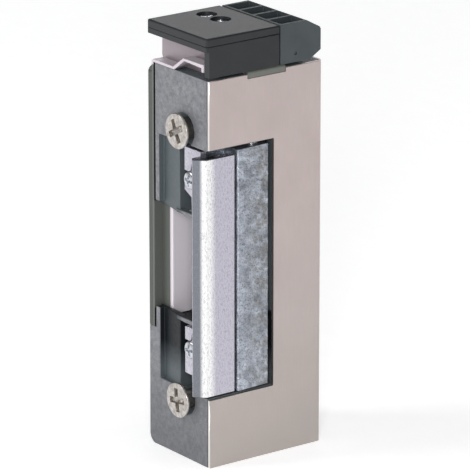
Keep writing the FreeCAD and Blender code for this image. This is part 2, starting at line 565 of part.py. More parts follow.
# ---- terminal unit -------------------------------------------------------------------------
def chamber_centres():
    pitch = (XR - PLUG_L - PLUG_RIB) / PLUG_CHAMBERS
    return [PLUG_L + PLUG_RIB / 2 + pitch * (i + 0.5) for i in range(PLUG_CHAMBERS)], pitch


def terminal_base():
    base = box(LID_L + CAP_WALL - 0.4, XR - CAP_WALL, BASE_F, LID_B, TOP_Z, LID_Z0)
    for x in SCREW_X:
        base = base.cut(box(x - 1.9, x + 1.9, SCREW_Y - 2.0, SCREW_Y + 2.0, TOP_Z + 1.8, LID_Z0 + 1))
        base = base.cut(box(x - 0.6, x + 0.6, SCREW_Y + 1.5, LEAD_UP_Y, TOP_Z - 1, TOP_Z + 1.9))
    base = base.cut(box(LEAD_X - 1.2, SCREW_X[1] + 0.6, LEAD_UP_Y - 2.5, LEAD_UP_Y + 0.6, TOP_Z - 1, TOP_Z + 1.5))
    for x in chamber_centres()[0]:
        base = base.cut(box(x - BLADE_H / 2, x + BLADE_H / 2, LID_B - 1.4, LID_B + 1,
                            BLADE_Z, BLADE_Z + BLADE_T))
    return base


def terminal_cap():
    cap = box(LID_L, XR, LID_F, LID_B, LID_Z0, LID_Z1)
    wall = box(XR - CAP_WALL, XR, LID_F + 0.7, LID_B, TOP_Z, LID_Z0)
    back_wall = box(LID_L, LID_L + CAP_WALL - 0.4, -STRAP_Y - 0.1, LID_B, TOP_Z, LID_Z0)
    cap = join([cap, wall, back_wall])
    cap = soften(cap, 0.35, lambda c, e: near(c.z, LID_Z1) or (along(e, "z") and near(c.y, LID_F)))
    outer = box(LID_L - 1, XR + 1, LID_F - 1, LID_B + 1, LID_SEAM - 0.15, LID_SEAM)
    cap = cap.cut(outer.cut(box(LID_L - 2, XR - LID_GROOVE, LID_F + LID_GROOVE, LID_B + 2, LID_Z0, LID_Z1)))
    for x in SCREW_X:
        cap = cap.cut(cyl(SCREW_HOLE_R, (x, SCREW_Y, LID_Z0 - 1), 5, (0, 0, 1)))
    return cap


def terminal_clamps():
    out = []
    for x in SCREW_X:
        cage = box(x - 1.8, x + 1.8, SCREW_Y - 1.9, SCREW_Y + 1.9, TOP_Z + 1.8, LID_Z0 - 0.6)
        cage = cage.cut(cyl(1.25, (x, SCREW_Y, TOP_Z + 3.0), 5, (0, 0, 1)))
        out.append(cage.cut(box(x - 1.2, x + 1.2, SCREW_Y - 3, SCREW_Y + 3, TOP_Z + 2.4, TOP_Z + 3.6)))
    return Part.makeCompound(out)


def terminal_screws():
    out = []
    top = LID_Z1 - 0.6
    for x, turn in zip(SCREW_X, (20, 65)):
        head = cyl(SCREW_HEAD_R, (x, SCREW_Y, top - 1.5), 1.5, (0, 0, 1))
        head = soften(head, 0.25, lambda c, e: near(c.z, top) and len(e.Vertexes) == 1)
        shank = cyl(1.25, (x, SCREW_Y, TOP_Z + 3.2), top - 1.4 - TOP_Z - 3.2, (0, 0, 1))
        cross = box(-3, 3, -0.35, 0.35, top - 0.8, top + 1).fuse(box(-0.35, 0.35, -3, 3, top - 0.8, top + 1))
        cross = cross.common(cyl(1.35, (0, 0, top - 1), 3, (0, 0, 1)))
        cross.rotate(vec(0, 0, 0), vec(0, 0, 1), turn)
        cross.translate(vec(x, SCREW_Y, 0))
        out.append(join([head, shank]).cut(cross))
    return Part.makeCompound(out)


def contact_blades():
    out = []
    for x in chamber_centres()[0]:
        out.append(box(x - BLADE_H / 2, x + BLADE_H / 2, LID_B - 1.4, PLUG_F + 4.5, BLADE_Z, BLADE_Z + BLADE_T))
    return Part.makeCompound(out)


def connector_plug():
    side = [(PLUG_F, PLUG_Z0), (PLUG_F, PLUG_Z1), (PLUG_B - 3.4, PLUG_Z1), (PLUG_B - 0.3, PLUG_Z1 - 1.7),
            (PLUG_B, PLUG_Z1 - 2.2), (PLUG_B, PLUG_Z1 - 6.4), (PLUG_B - 2.2, PLUG_Z0 + 0.3), (PLUG_B - 2.6, PLUG_Z0)]
    plug = end_prism(side, PLUG_L, XR)
    plug = soften(plug, 0.25, lambda c, e: along(e, "x") and c.y > PLUG_F + 1)
    xs, pitch = chamber_centres()
    for x in xs:
        half = (pitch - PLUG_RIB) / 2
        well = box(x - half, x + half, PLUG_F + 0.6, PLUG_B - 3.6, TOP_Z + 4.0, PLUG_Z1 + 1)
        well = soften(well, 0.3, lambda c, e: along(e, "z"))
        socket = box(x - BLADE_H / 2 - 0.35, x + BLADE_H / 2 + 0.35, PLUG_F - 1, PLUG_F + 5.3,
                     BLADE_Z - 0.35, BLADE_Z + BLADE_T + 0.35)
        plug = plug.cut(well).cut(socket)
    return plug.cut(cyl(0.35, (XR - 0.25, YF + 21.1, TOP_Z + 1.8), 1, (1, 0, 0)))


def plug_contacts():
    """Brass sleeves that grip the blades, one per chamber."""
    out = []
    for x in chamber_centres()[0]:
        sleeve = box(x - BLADE_H / 2 - 0.35, x + BLADE_H / 2 + 0.35, PLUG_F + 0.3, PLUG_F + 5.3,
                     BLADE_Z - 0.35, BLADE_Z + BLADE_T + 0.35)
        g = SLIDE_GAP
        sleeve = sleeve.cut(box(x - BLADE_H / 2 - g, x + BLADE_H / 2 + g, PLUG_F, PLUG_F + 5.0,
                                BLADE_Z - g, BLADE_Z + BLADE_T + g))
        out.append(sleeve)
    return Part.makeCompound(out)


PARTS = {
    "housing": housing, "right_cover": right_cover, "cover_screws": cover_screws,
    "left_outer_plate": left_outer_plate, "left_side_sheet": left_side_sheet, "side_rivets": side_rivets,
    "terminal_bracket": terminal_bracket,
    "fixing_screws": fixing_screws, "keeper_lever": keeper_lever, "keeper_nose": keeper_nose,
    "keeper_clamp_screws": keeper_clamp_screws, "keeper_pin": keeper_pin, "keeper_spring": keeper_spring,
    "locking_pawl": locking_pawl, "pawl_pin": lambda: cross_pin(PAWL_X, PAWL_Z, PAWL_PIN_R),
    "pawl_spring": pawl_spring, "magnet_yoke": magnet_yoke, "magnet_core": magnet_core,
    "magnet_pad": magnet_pad, "coil_bobbin": coil_bobbin, "coil_winding": coil_winding,
    "armature": armature, "armature_pin": lambda: cross_pin(ARM_HINGE_X, ARM_HINGE_Z, ARM_PIN_R),
    "armature_spring": armature_spring, "coil_leads": coil_leads, "suppression_diode": suppression_diode,
    "terminal_base": terminal_base, "terminal_cap": terminal_cap, "terminal_clamps": terminal_clamps,
    "terminal_screws": terminal_screws, "contact_blades": contact_blades,
    "connector_plug": connector_plug, "plug_contacts": plug_contacts,
}


def build():
    os.makedirs("parts", exist_ok=True)
    for name, make in PARTS.items():
        shape = make()
        print(name, "valid" if shape.isValid() else "NOT VALID", len(shape.Solids), round(shape.Volume, 1))
        shape.exportStep("parts/" + name + ".step")


build()
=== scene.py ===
"""Looks of a compact electric door strike, built round its fixed CAD frame."""

import logging
import math
from dataclasses import dataclass, field
from enum import Enum
from typing import Any, ClassVar, Optional, Sequence

import bmesh
import bpy
import numpy as np
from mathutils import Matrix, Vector


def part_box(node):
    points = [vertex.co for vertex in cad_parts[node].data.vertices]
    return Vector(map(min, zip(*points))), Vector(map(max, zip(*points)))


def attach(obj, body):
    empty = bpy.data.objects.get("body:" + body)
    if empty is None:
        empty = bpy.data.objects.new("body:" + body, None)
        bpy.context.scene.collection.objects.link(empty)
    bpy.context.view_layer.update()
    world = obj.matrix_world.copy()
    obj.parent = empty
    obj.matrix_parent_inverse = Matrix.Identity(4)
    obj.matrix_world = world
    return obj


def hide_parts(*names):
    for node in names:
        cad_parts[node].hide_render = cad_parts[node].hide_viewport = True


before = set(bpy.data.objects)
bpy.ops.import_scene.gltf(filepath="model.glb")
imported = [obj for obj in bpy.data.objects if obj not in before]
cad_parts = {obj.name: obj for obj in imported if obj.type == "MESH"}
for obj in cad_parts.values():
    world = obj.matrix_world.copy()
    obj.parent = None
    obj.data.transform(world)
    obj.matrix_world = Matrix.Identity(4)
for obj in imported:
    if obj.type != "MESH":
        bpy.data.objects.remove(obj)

LOG = logging.getLogger("door_strike")
MM = 0.001
Socket = Any
Colour = tuple[float, float, float, float]


class Axis(Enum):
    """Axis of the shared frame, as the index of its coordinate."""

    X = 0
    Y = 1
    Z = 2


# ---------------------------------------------------------------------------
# Node and colour helpers
# ---------------------------------------------------------------------------


def linear(code: str) -> Colour:
    """Turn an sRGB hex colour into the linear values that a shader takes.

    Args:
        code: six hex digits, with or without a leading hash.

    Returns:
        Linear red, green, blue and an alpha of one.
    """
    srgb = np.array([int(code.lstrip("#")[i : i + 2], 16) / 255.0 for i in (0, 2, 4)])
    low, high = srgb / 12.92, ((srgb + 0.055) / 1.055) ** 2.4
    red, green, blue = np.where(srgb <= 0.04045, low, high)
    return float(red), float(green), float(blue), 1.0


def add_node(tree: bpy.types.NodeTree, kind: str, inputs: Optional[dict] = None,
             **settings: Any) -> Any:
    """Add a node with its settings, its input values and its links.

    Args:
        tree: the node tree that takes the node.
        kind: Blender's identifier of the node.
        inputs: socket name or index to a value, or to an output socket to link.
        **settings: attributes of the node itself.

    Returns:
        The new node.
    """
    node = tree.nodes.new(kind)
    for key, value in settings.items():
        setattr(node, key, value)
    for key, value in (inputs or {}).items():
        if isinstance(value, bpy.types.NodeSocket):
            tree.links.new(value, node.inputs[key])
        else:
            node.inputs[key].default_value = value
    return node


def multiply(tree: bpy.types.NodeTree, first: Socket, second: Socket) -> Socket:
    """Return the product of two value sockets."""
    return add_node(tree, "ShaderNodeMath", {0: first, 1: second}, operation="MULTIPLY").outputs["Value"]


@dataclass(frozen=True)
class Zone:
    """Part of a piece with its own tint, such as a sheared edge, painted shade, a painted highlight or a
    painted reflection.

    The tint comes in as the place along the axis goes from start to end. With facing set, it stays on
    faces that look along that direction; each gate is a further axis it has to pass in the same way.
    """

    axis: Axis
    start_mm: float
    end_mm: float
    colour: str
    share: float = 1.0
    facing: Optional[tuple[float, float, float]] = None
    patch_mm: float = 0.0
    gates: tuple[tuple[Axis, float, float], ...] = ()


@dataclass(frozen=True)
class Finish:
    """A surface finish: what the piece is made of and how its skin was made."""

    FACED: ClassVar[tuple[float, float]] = (0.55, 0.8)
    PATCHY: ClassVar[tuple[float, float]] = (0.4, 0.6)
    PATCH_OFFSET: ClassVar[float] = 9.4

    name: str
    colour: str
    shade: str
    roughness: float
    zones: tuple[Zone, ...] = ()

    def material(self) -> bpy.types.Material:
        """Return the material, made once and shared by every piece that asks for it.

        Returns:
            The Blender material of this finish.
        """
        ready = bpy.data.materials.get(self.name)
        if ready is not None:
            return ready
        made = bpy.data.materials.new(self.name)
        made.use_nodes = True
        tree = made.node_tree
        tree.nodes.clear()
        shader = add_node(tree, "ShaderNodeBsdfPrincipled")
        add_node(tree, "ShaderNodeOutputMaterial", {"Surface": shader.outputs["BSDF"]})
        self.dress(tree, shader)
        made.diffuse_color = linear(self.colour)
        return made

    def dress(self, tree: bpy.types.NodeTree, shader: Any) -> None:
        """Fill the shader's colour, roughness and relief.

        Args:
            tree: the material's node tree.
            shader: its Principled shader.
        """
        raise NotImplementedError

    def noise(self, tree: bpy.types.NodeTree, size_mm: float, detail: float = 3.0,
              stretch: Sequence[float] = (1.0, 1.0, 1.0), offset: float = 0.0) -> Socket:
        """Noise in object space whose blobs are about size_mm across.

        Args:
            tree: the material's node tree.
            size_mm: blob size in millimetres.
            detail: octaves of finer noise.
            stretch: scale of the pattern along X, Y and Z, below one to draw it out.
            offset: shift of the pattern, so that two layers differ.

        Returns:
            The noise value socket, centred on about one half.
        """
        place = add_node(tree, "ShaderNodeTexCoord")
        mapped = add_node(tree, "ShaderNodeMapping",
                          {"Vector": place.outputs["Object"], "Scale": tuple(stretch),
                           "Location": (offset, offset * 0.7, offset * 1.3)})
        made = add_node(tree, "ShaderNodeTexNoise",
                        {"Vector": mapped.outputs["Vector"], "Scale": 1.0 / (size_mm * MM),
                         "Detail": detail, "Roughness": 0.55})
        return made.outputs["Fac"]

    def zoned(self, tree: bpy.types.NodeTree, colour: Socket) -> Socket:
        """Lay each zone's tint over a colour.

        Args:
            tree: the material's node tree.
            colour: the colour under the zones.

        Returns:
            The tinted colour socket.
        """
        if not self.zones:
            return colour
        place = add_node(tree, "ShaderNodeTexCoord")
        along = add_node(tree, "ShaderNodeSeparateXYZ", {0: place.outputs["Object"]})
        for zone in self.zones:
            mask = self.between(tree, along.outputs[zone.axis.value], 0.0, zone.share,
                                zone.start_mm * MM, zone.end_mm * MM)
            if zone.facing is not None:
                look = add_node(tree, "ShaderNodeVectorMath",
                                {0: place.outputs["Normal"], 1: zone.facing}, operation="DOT_PRODUCT")
                mask = multiply(tree, mask, self.between(tree, look.outputs["Value"], 0.0, 1.0, *self.FACED))
            for axis, start, end in zone.gates:
                passed = self.between(tree, along.outputs[axis.value], 0.0, 1.0, start * MM, end * MM)
                mask = multiply(tree, mask, passed)
            if zone.patch_mm:
                patches = self.noise(tree, zone.patch_mm, 4.0, offset=self.PATCH_OFFSET)
                mask = multiply(tree, mask, self.between(tree, patches, 0.0, 1.0, *self.PATCHY))
            colour = self.blend(tree, mask, colour, linear(zone.colour))
        return colour

    def clouded(self, tree: bpy.types.NodeTree, cloud: Socket) -> Socket:
        """Drift between the finish's colour and its shade as the cloud noise rises."""
        return self.blend(tree, self.between(tree, cloud, 0.0, 1.0), linear(self.colour), linear(self.shade))

    def between(self, tree: bpy.types.NodeTree, value: Socket, low: float, high: float,
                start: float = 0.3, end: float = 0.7) -> Socket:
        """Map a noise value between two limits.

        Args:
            tree: the material's node tree.
            value: the value to map.
            low: result at start.
            high: result at end.
            start: value where the result is low.
            end: value where the result is high.

        Returns:
            The mapped socket.
        """
        made = add_node(tree, "ShaderNodeMapRange",
                        {"Value": value, "From Min": start, "From Max": end, "To Min": low, "To Max": high})
        return made.outputs["Result"]

    def blend(self, tree: bpy.types.NodeTree, amount: Socket, first: Any, second: Any) -> Socket:
        """Mix two colours, each a linear colour or a colour socket.

        Args:
            tree: the material's node tree.
            amount: the mixing factor socket.
            first: colour at zero.
            second: colour at one.

        Returns:
            The mixed colour socket.
        """
        made = add_node(tree, "ShaderNodeMix", {0: amount, 6: first, 7: second}, data_type="RGBA")
        return made.outputs[2]

    def relief(self, tree: bpy.types.NodeTree, shader: Any, height: Socket, depth_mm: float,
               strength: float = 1.0) -> None:
        """Feed a height into the shader's normal.

        Args:
            tree: the material's node tree.
            shader: its Principled shader.
            height: the height socket, zero to one.
            depth_mm: full height of the relief in millimetres.
            strength: share of the relief that is shown.
        """
        bump = add_node(tree, "ShaderNodeBump", {"Height": height, "Distance": depth_mm * MM,
                                                 "Strength": strength})
        tree.links.new(bump.outputs["Normal"], shader.inputs["Normal"])


@dataclass(frozen=True)
class CastZinc(Finish):
    """Pressure die-cast zinc: cloudy grey skin with flow mottling, dark pinholes and a fine orange peel."""

    mottle_mm: float = 2.6
    speck_mm: float = 0.45
    peel_mm: float = 0.22
    depth_mm: float = 0.03
    speck: str = "#4c5058"
    speck_share: float = 0.55
    metallic: float = 0.8

    def dress(self, tree: bpy.types.NodeTree, shader: Any) -> None:
        """Mix cloud, speck and peel noise into colour, roughness and relief.

        Args:
            tree: the material's node tree.
            shader: its Principled shader.
        """
        cloud = self.noise(tree, self.mottle_mm, 4.0)
        specks = self.noise(tree, self.speck_mm, 2.0, offset=3.1)
        base = self.clouded(tree, cloud)
        dark = self.between(tree, specks, 0.0, self.speck_share, 0.52, 0.72)
        base = self.zoned(tree, self.blend(tree, dark, base, linear(self.speck)))
        tree.links.new(base, shader.inputs["Base Color"])
        rough = self.between(tree, cloud, self.roughness - 0.07, self.roughness + 0.08)
        tree.links.new(rough, shader.inputs["Roughness"])
        shader.inputs["Metallic"].default_value = self.metallic
        self.relief(tree, shader, self.noise(tree, self.peel_mm, 3.0, offset=7.7), self.depth_mm, 0.8)


@dataclass(frozen=True)
class RolledSteel(Finish):
    """Cold-rolled sheet with a satin nickel skin: even, faintly drawn along the rolling direction."""

    grain: Axis = Axis.Z
    line_mm: float = 0.16
    cloud_mm: float = 9.0
    depth_mm: float = 0.004
    metallic: float = 0.9

    def dress(self, tree: bpy.types.NodeTree, shader: Any) -> None:
        """Stretch fine noise along the grain and cloud the colour a little.

        Args:
            tree: the material's node tree.
            shader: its Principled shader.
        """
        stretch = [1.0, 1.0, 1.0]
        stretch[self.grain.value] = 0.04
        lines = self.noise(tree, self.line_mm, 2.0, stretch)
        cloud = self.noise(tree, self.cloud_mm, 3.0, offset=1.9)
        base = self.clouded(tree, cloud)
        drawn = self.between(tree, lines, 0.0, 0.35, 0.35, 0.75)
        base = self.zoned(tree, self.blend(tree, drawn, base, linear(self.shade)))
        tree.links.new(base, shader.inputs["Base Color"])
        rough = self.between(tree, lines, self.roughness - 0.05, self.roughness + 0.06)
        tree.links.new(rough, shader.inputs["Roughness"])
        shader.inputs["Metallic"].default_value = self.metallic
        self.relief(tree, shader, lines, self.depth_mm, 0.5)


@dataclass(frozen=True)
class BurnishedZinc(Finish):
    """Zinc casting tumbled and burnished bright: mirror-like painted reflection bands from its zones, broken
    by soft clouds and nicks.
    """

    cloud_mm: float = 3.5
    nick_mm: float = 0.32
    nicked: str = "#8b8c94"
    depth_mm: float = 0.006
    metallic: float = 0.95

    def dress(self, tree: bpy.types.NodeTree, shader: Any) -> None:
        """Cloud the colour, roughen it in patches and add shallow nicks.

        Args:
            tree: the material's node tree.
            shader: its Principled shader.
        """
        cloud = self.noise(tree, self.cloud_mm, 4.0, (1.0, 1.0, 0.45))
        nick = self.noise(tree, self.nick_mm, 3.0, (1.0, 1.0, 0.5), 4.2)
        base = self.clouded(tree, cloud)
        worn = self.between(tree, nick, 0.0, 0.55, 0.48, 0.75)
        base = self.blend(tree, worn, self.zoned(tree, base), linear(self.nicked))
        tree.links.new(base, shader.inputs["Base Color"])
        rough = self.between(tree, nick, self.roughness - 0.05, self.roughness + 0.09)
        tree.links.new(rough, shader.inputs["Roughness"])
        shader.inputs["Metallic"].default_value = self.metallic
        self.relief(tree, shader, nick, self.depth_mm, 0.6)


@dataclass(frozen=True)
class PlatedSteel(Finish):
    """Turned or drawn steel under nickel or zinc plating: bright, with a slight warm cloud."""

    cloud_mm: float = 1.2
    grit_mm: float = 0.12
    depth_mm: float = 0.003
    metallic: float = 1.0

    def dress(self, tree: bpy.types.NodeTree, shader: Any) -> None:
        """Cloud the plating and break its gloss with fine grit.

        Args:
            tree: the material's node tree.
            shader: its Principled shader.
        """
        cloud = self.noise(tree, self.cloud_mm, 3.0)
        grit = self.noise(tree, self.grit_mm, 2.0, offset=2.3)
        base = self.clouded(tree, cloud)
        tree.links.new(self.zoned(tree, base), shader.inputs["Base Color"])
        rough = self.between(tree, grit, self.roughness - 0.05, self.roughness + 0.08)
        tree.links.new(rough, shader.inputs["Roughness"])
        shader.inputs["Metallic"].default_value = self.metallic
        self.relief(tree, shader, grit, self.depth_mm, 0.5)


@dataclass(frozen=True)
class MouldedPlastic(Finish):
    """Glass-filled polyamide moulded against a spark-eroded tool: matt, with a fine even grain."""

    grain_mm: float = 0.18
    cloud_mm: float = 5.0
    depth_mm: float = 0.012

    def dress(self, tree: bpy.types.NodeTree, shader: Any) -> None:
        """Use one fine grain for relief and gloss and a wide cloud for colour.

        Args:
            tree: the material's node tree.
            shader: its Principled shader.
        """
        grain = self.noise(tree, self.grain_mm, 3.0)
        cloud = self.noise(tree, self.cloud_mm, 3.0, offset=5.5)
        base = self.clouded(tree, cloud)
        tree.links.new(self.zoned(tree, base), shader.inputs["Base Color"])
        rough = self.between(tree, grain, self.roughness - 0.06, self.roughness + 0.08)
        tree.links.new(rough, shader.inputs["Roughness"])
        self.relief(tree, shader, grain, self.depth_mm, 0.6)


@dataclass(frozen=True)
class WoundWire(Finish):
    """Enamelled copper wire wound in close layers: fine horizontal turns with a deep lacquer gloss."""

    WAVES: ClassVar[float] = 0.314

    pitch_mm: float = 0.4
    depth_mm: float = 0.1
    metallic: float = 0.7

    def dress(self, tree: bpy.types.NodeTree, shader: Any) -> None:
        """Band the coil along its height at the wire's pitch.

        Args:
            tree: the material's node tree.
            shader: its Principled shader.
        """
        place = add_node(tree, "ShaderNodeTexCoord")
        wave = add_node(tree, "ShaderNodeTexWave",
                        {"Vector": place.outputs["Object"], "Scale": self.WAVES / (self.pitch_mm * MM),
                         "Distortion": 0.4, "Detail": 1.0, "Detail Scale": 1.0}, bands_direction="Z")
        turns = wave.outputs["Fac"]
        base = self.blend(tree, turns, linear(self.shade), linear(self.colour))
        tree.links.new(base, shader.inputs["Base Color"])
        rough = self.between(tree, turns, self.roughness + 0.1, self.roughness, 0.0, 1.0)
        tree.links.new(rough, shader.inputs["Roughness"])
        shader.inputs["Metallic"].default_value = self.metallic
        self.relief(tree, shader, turns, self.depth_mm, 0.8)


def span_mm(node: str) -> tuple[np.ndarray, np.ndarray]:
    """Return a CAD node's lowest and highest corner in millimetres."""
    low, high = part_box(node)
    return np.array(low) / MM, np.array(high) / MM


# Places that the zones start from, in millimetres. The outer ones are taken from the frame; the back of
# the lever and the two ends of the cavity lie inside their CAD nodes' boxes, so they are given here.
HOUSING_LOW, HOUSING_HIGH = span_mm("housing")
LEFT, FRONT, TOP = float(HOUSING_LOW[0]), float(HOUSING_LOW[1]), float(HOUSING_HIGH[2])
RIGHT = float(span_mm("right_cover")[1][0])
LEVER_BACK = 0.9
LEDGE = 29.4
CAVITY_TOP = 50.9
# Depth behind the front over which the painted recess shade comes in.
RECESS_SHADE = (FRONT + 0.03, FRONT + 0.3)
INBOARD = (Axis.X, LEFT + 0.3, LEFT + 0.5)
BELOW_FLANGE = (Axis.Z, TOP - 0.4, TOP - 0.6)
# Span where the painted black shade in the slot between the side sheet and the casting comes in.
SLOT_SHADE = (LEFT + 2.0, LEFT + 1.85)
GUIDE = LEFT + 5.0
TO_RIGHT = (1.0, 0.0, 0.0)

# Linished front, cool mid-grey, darker towards the bottom; the recesses carry painted shade, darkest
# under the ledge in the lower pocket.
HOUSING_ZINC = CastZinc(
    "die_cast_zinc_housing", "#949599", "#7b7c81", 0.5,
    (Zone(Axis.Z, 22.0, 2.0, "#626468", 0.6),
     Zone(Axis.Y, *RECESS_SHADE, "#636b6f", gates=(INBOARD,)),
     Zone(Axis.Z, 17.0, 22.5, "#1b2025", gates=((Axis.Y, *RECESS_SHADE), INBOARD)),
     Zone(Axis.Z, LEDGE + 0.1, LEDGE + 0.6, "#636b6f", gates=((Axis.Y, *RECESS_SHADE), INBOARD))),
    mottle_mm=0.9, speck_mm=0.26, speck_share=0.4, metallic=0.4)
# Tumbled but not burnished: blue-grey and rough at the front, darker and browner in patches towards the hub.
LEVER_ZINC = CastZinc(
    "die_cast_zinc_lever", "#c3c9d4", "#898e98", 0.36,
    (Zone(Axis.Y, LEVER_BACK - 6.9, LEVER_BACK - 2.4, "#77736a", 0.6, patch_mm=1.3),),
    mottle_mm=2.2, speck_mm=0.28, peel_mm=0.75, depth_mm=0.34, speck="#545961", speck_share=0.75,
    metallic=0.8)
# Painted reflections on the nose: a painted highlight along the rounded front edge, a dark painted band on
# the bevel beside it, and painted shade on the faces that look to the right.
NOSE_ZINC = BurnishedZinc(
    "burnished_zinc_nose", "#d0ced8", "#b3b2bd", 0.27,
    (Zone(Axis.X, RIGHT - 2.2, RIGHT - 1.9, "#7b7e85"),
     Zone(Axis.X, RIGHT - 1.0, RIGHT - 0.5, "#f4f4f4"),
     Zone(Axis.Y, FRONT + 0.2, FRONT + 1.6, "#c0bdc9", 1.0, TO_RIGHT)), depth_mm=0.016)
# Warm satin nickel with a painted floor reflection lower down and a painted highlight along the front edge.
COVER_STEEL = RolledSteel(
    "satin_nickel_cover", "#c6b9b6", "#bfb2af", 0.34,
    (Zone(Axis.Z, 55.0, -10.0, "#a9a59f", 0.7),
     Zone(Axis.Y, FRONT + 0.1, FRONT + 0.03, "#e8e4e0")))
# Below the flange the folded strips carry painted shade, with black painted shade in the slot against the
# casting;
# the guide that the latch rubs is brightened with painted light, and the strap's end over the cap carries
# painted shade.
SIDE_STEEL = RolledSteel(
    "satin_nickel_side_sheet", "#ddd4da", "#d4cbd2", 0.38,
    (Zone(Axis.X, GUIDE - 0.4, GUIDE - 0.7, "#676a65", gates=(BELOW_FLANGE,)),
     Zone(Axis.X, *SLOT_SHADE, "#17191c", 1.0, TO_RIGHT, gates=((Axis.Z, CAVITY_TOP + 0.3, CAVITY_TOP + 0.7),)),
     Zone(Axis.X, *SLOT_SHADE, "#17191c", 1.0, TO_RIGHT, gates=((Axis.Z, LEDGE - 0.2, LEDGE - 0.6),)),
     Zone(Axis.X, GUIDE - 0.5, GUIDE - 0.2, "#fbf4f9", 1.0, TO_RIGHT, gates=(BELOW_FLANGE,)),
     Zone(Axis.X, RIGHT - 1.6, RIGHT - 1.0, "#6d6f69")), grain=Axis.Y, metallic=0.25)
# The same sheet, duller and darker.
BRACKET_STEEL = RolledSteel("satin_nickel_bracket", "#aba0a5", "#a1979c", 0.4, metallic=0.4)
# Sheared through, so its front edge is the dark grey-green of bare steel.
PLATE_STEEL = RolledSteel("zinc_plated_plate", "#8b8d8a", "#7d7f7c", 0.4,
                          (Zone(Axis.Y, FRONT + 0.2, FRONT + 0.05, "#646763"),))
# Plating over turned steel: warm and clouded on the big heads, bluer and brighter on the small ones.
SCREW_NICKEL = PlatedSteel("nickel_plated_screw", "#d6d1cc", "#a49e97", 0.34, cloud_mm=0.7)
BRIGHT_SCREW = PlatedSteel("zinc_plated_clamp_screw", "#dadbe0", "#bfc1c8", 0.24)
DARK_STEEL = PlatedSteel("phosphated_steel", "#7b7c7c", "#666767", 0.42)
PIN_STEEL = PlatedSteel("ground_pin_steel", "#b4b4b3", "#a2a2a2", 0.25)
SPRING_STEEL = PlatedSteel("drawn_spring_wire", "#93938f", "#7d7d79", 0.33)
BRASS = PlatedSteel("stamped_brass", "#c9a65a", "#b08c45", 0.3)
# Dyed engineering plastics: near-black cap with a cool sheen, slate plug, cream bobbin.
CAP_PLASTIC = MouldedPlastic("polyamide_cap", "#1e2125", "#181a1e", 0.4)
PLUG_PLASTIC = MouldedPlastic("polyamide_plug", "#42494c", "#3a4144", 0.5)
BASE_PLASTIC = MouldedPlastic("polyamide_terminal_base", "#1a1c1e", "#141618", 0.5)
BOBBIN_PLASTIC = MouldedPlastic("polybutylene_bobbin", "#d8cdb4", "#ccc0a5", 0.45)
LEAD_RUBBER = MouldedPlastic("lead_insulation", "#8e1f1a", "#7d1915", 0.4)
DIODE_EPOXY = MouldedPlastic("diode_epoxy", "#222224", "#1a1a1c", 0.3)
COIL_COPPER = WoundWire("enamelled_copper_wire", "#b5602c", "#5a2a12", 0.3)

NODE_FINISH: dict[str, Finish] = {
    "side_rivets": PIN_STEEL, "keeper_pin": PIN_STEEL, "pawl_pin": PIN_STEEL, "armature_pin": PIN_STEEL,
    "keeper_spring": SPRING_STEEL, "pawl_spring": SPRING_STEEL, "armature_spring": SPRING_STEEL,
    "locking_pawl": DARK_STEEL, "magnet_yoke": DARK_STEEL, "magnet_core": DARK_STEEL, "armature": DARK_STEEL,
    "magnet_pad": BASE_PLASTIC, "coil_bobbin": BOBBIN_PLASTIC, "coil_winding": COIL_COPPER,
    "coil_leads": LEAD_RUBBER, "suppression_diode": DIODE_EPOXY, "terminal_clamps": BRASS,
    "contact_blades": BRASS, "plug_contacts": BRASS, "cover_screws": BRIGHT_SCREW,
}


# ---------------------------------------------------------------------------
# Mesh helpers
# ---------------------------------------------------------------------------


WELD_M = 1e-7
CAD_WELD_M = 2e-7
FLAT_DEG = 0.4
SMOOTH_DEG = 40.0
CAD_SMOOTH_DEG = 32.0
BREAK_DEG = 50.0
BREAK_LEAST_MM = 1.2


def new_object(name: str, points: np.ndarray, faces: Sequence[Sequence[int]],
               finish: Finish) -> bpy.types.Object:
    """Make a mesh object from points in metres and faces.

    Args:
        name: name of the piece.
        points: array of shape (n, 3).
        faces: vertex indices of each face.
        finish: the surface finish.

    Returns:
        The object, at the origin.
    """
    mesh = bpy.data.meshes.new(name)
    mesh.from_pydata(points.tolist(), [], [list(map(int, f)) for f in faces])
    made = bmesh.new()
    made.from_mesh(mesh)
    bmesh.ops.remove_doubles(made, verts=made.verts, dist=WELD_M)
    bmesh.ops.recalc_face_normals(made, faces=made.faces)
    made.to_mesh(mesh)
    made.free()
    mesh.shade_smooth()
    mesh.set_sharp_from_angle(angle=math.radians(SMOOTH_DEG))
    mesh.materials.append(finish.material())
    obj = bpy.data.objects.new(name, mesh)
    bpy.context.scene.collection.objects.link(obj)
    return obj


def grid_faces(rows: int, columns: int, wrap: bool) -> np.ndarray:
    """Quads of a rows by columns grid of points, numbered row by row.

    Args:
        rows: points along the first parameter.
        columns: points along the second parameter.
        wrap: join the last column to the first.

    Returns:
        Array of quads.
    """
    span = columns if wrap else columns - 1
    row, column = np.meshgrid(np.arange(rows - 1), np.arange(span), indexing="ij")
    here, right = row * columns + column, row * columns + (column + 1) % columns
    return np.stack([here, right, right + columns, here + columns], axis=-1).reshape(-1, 4)


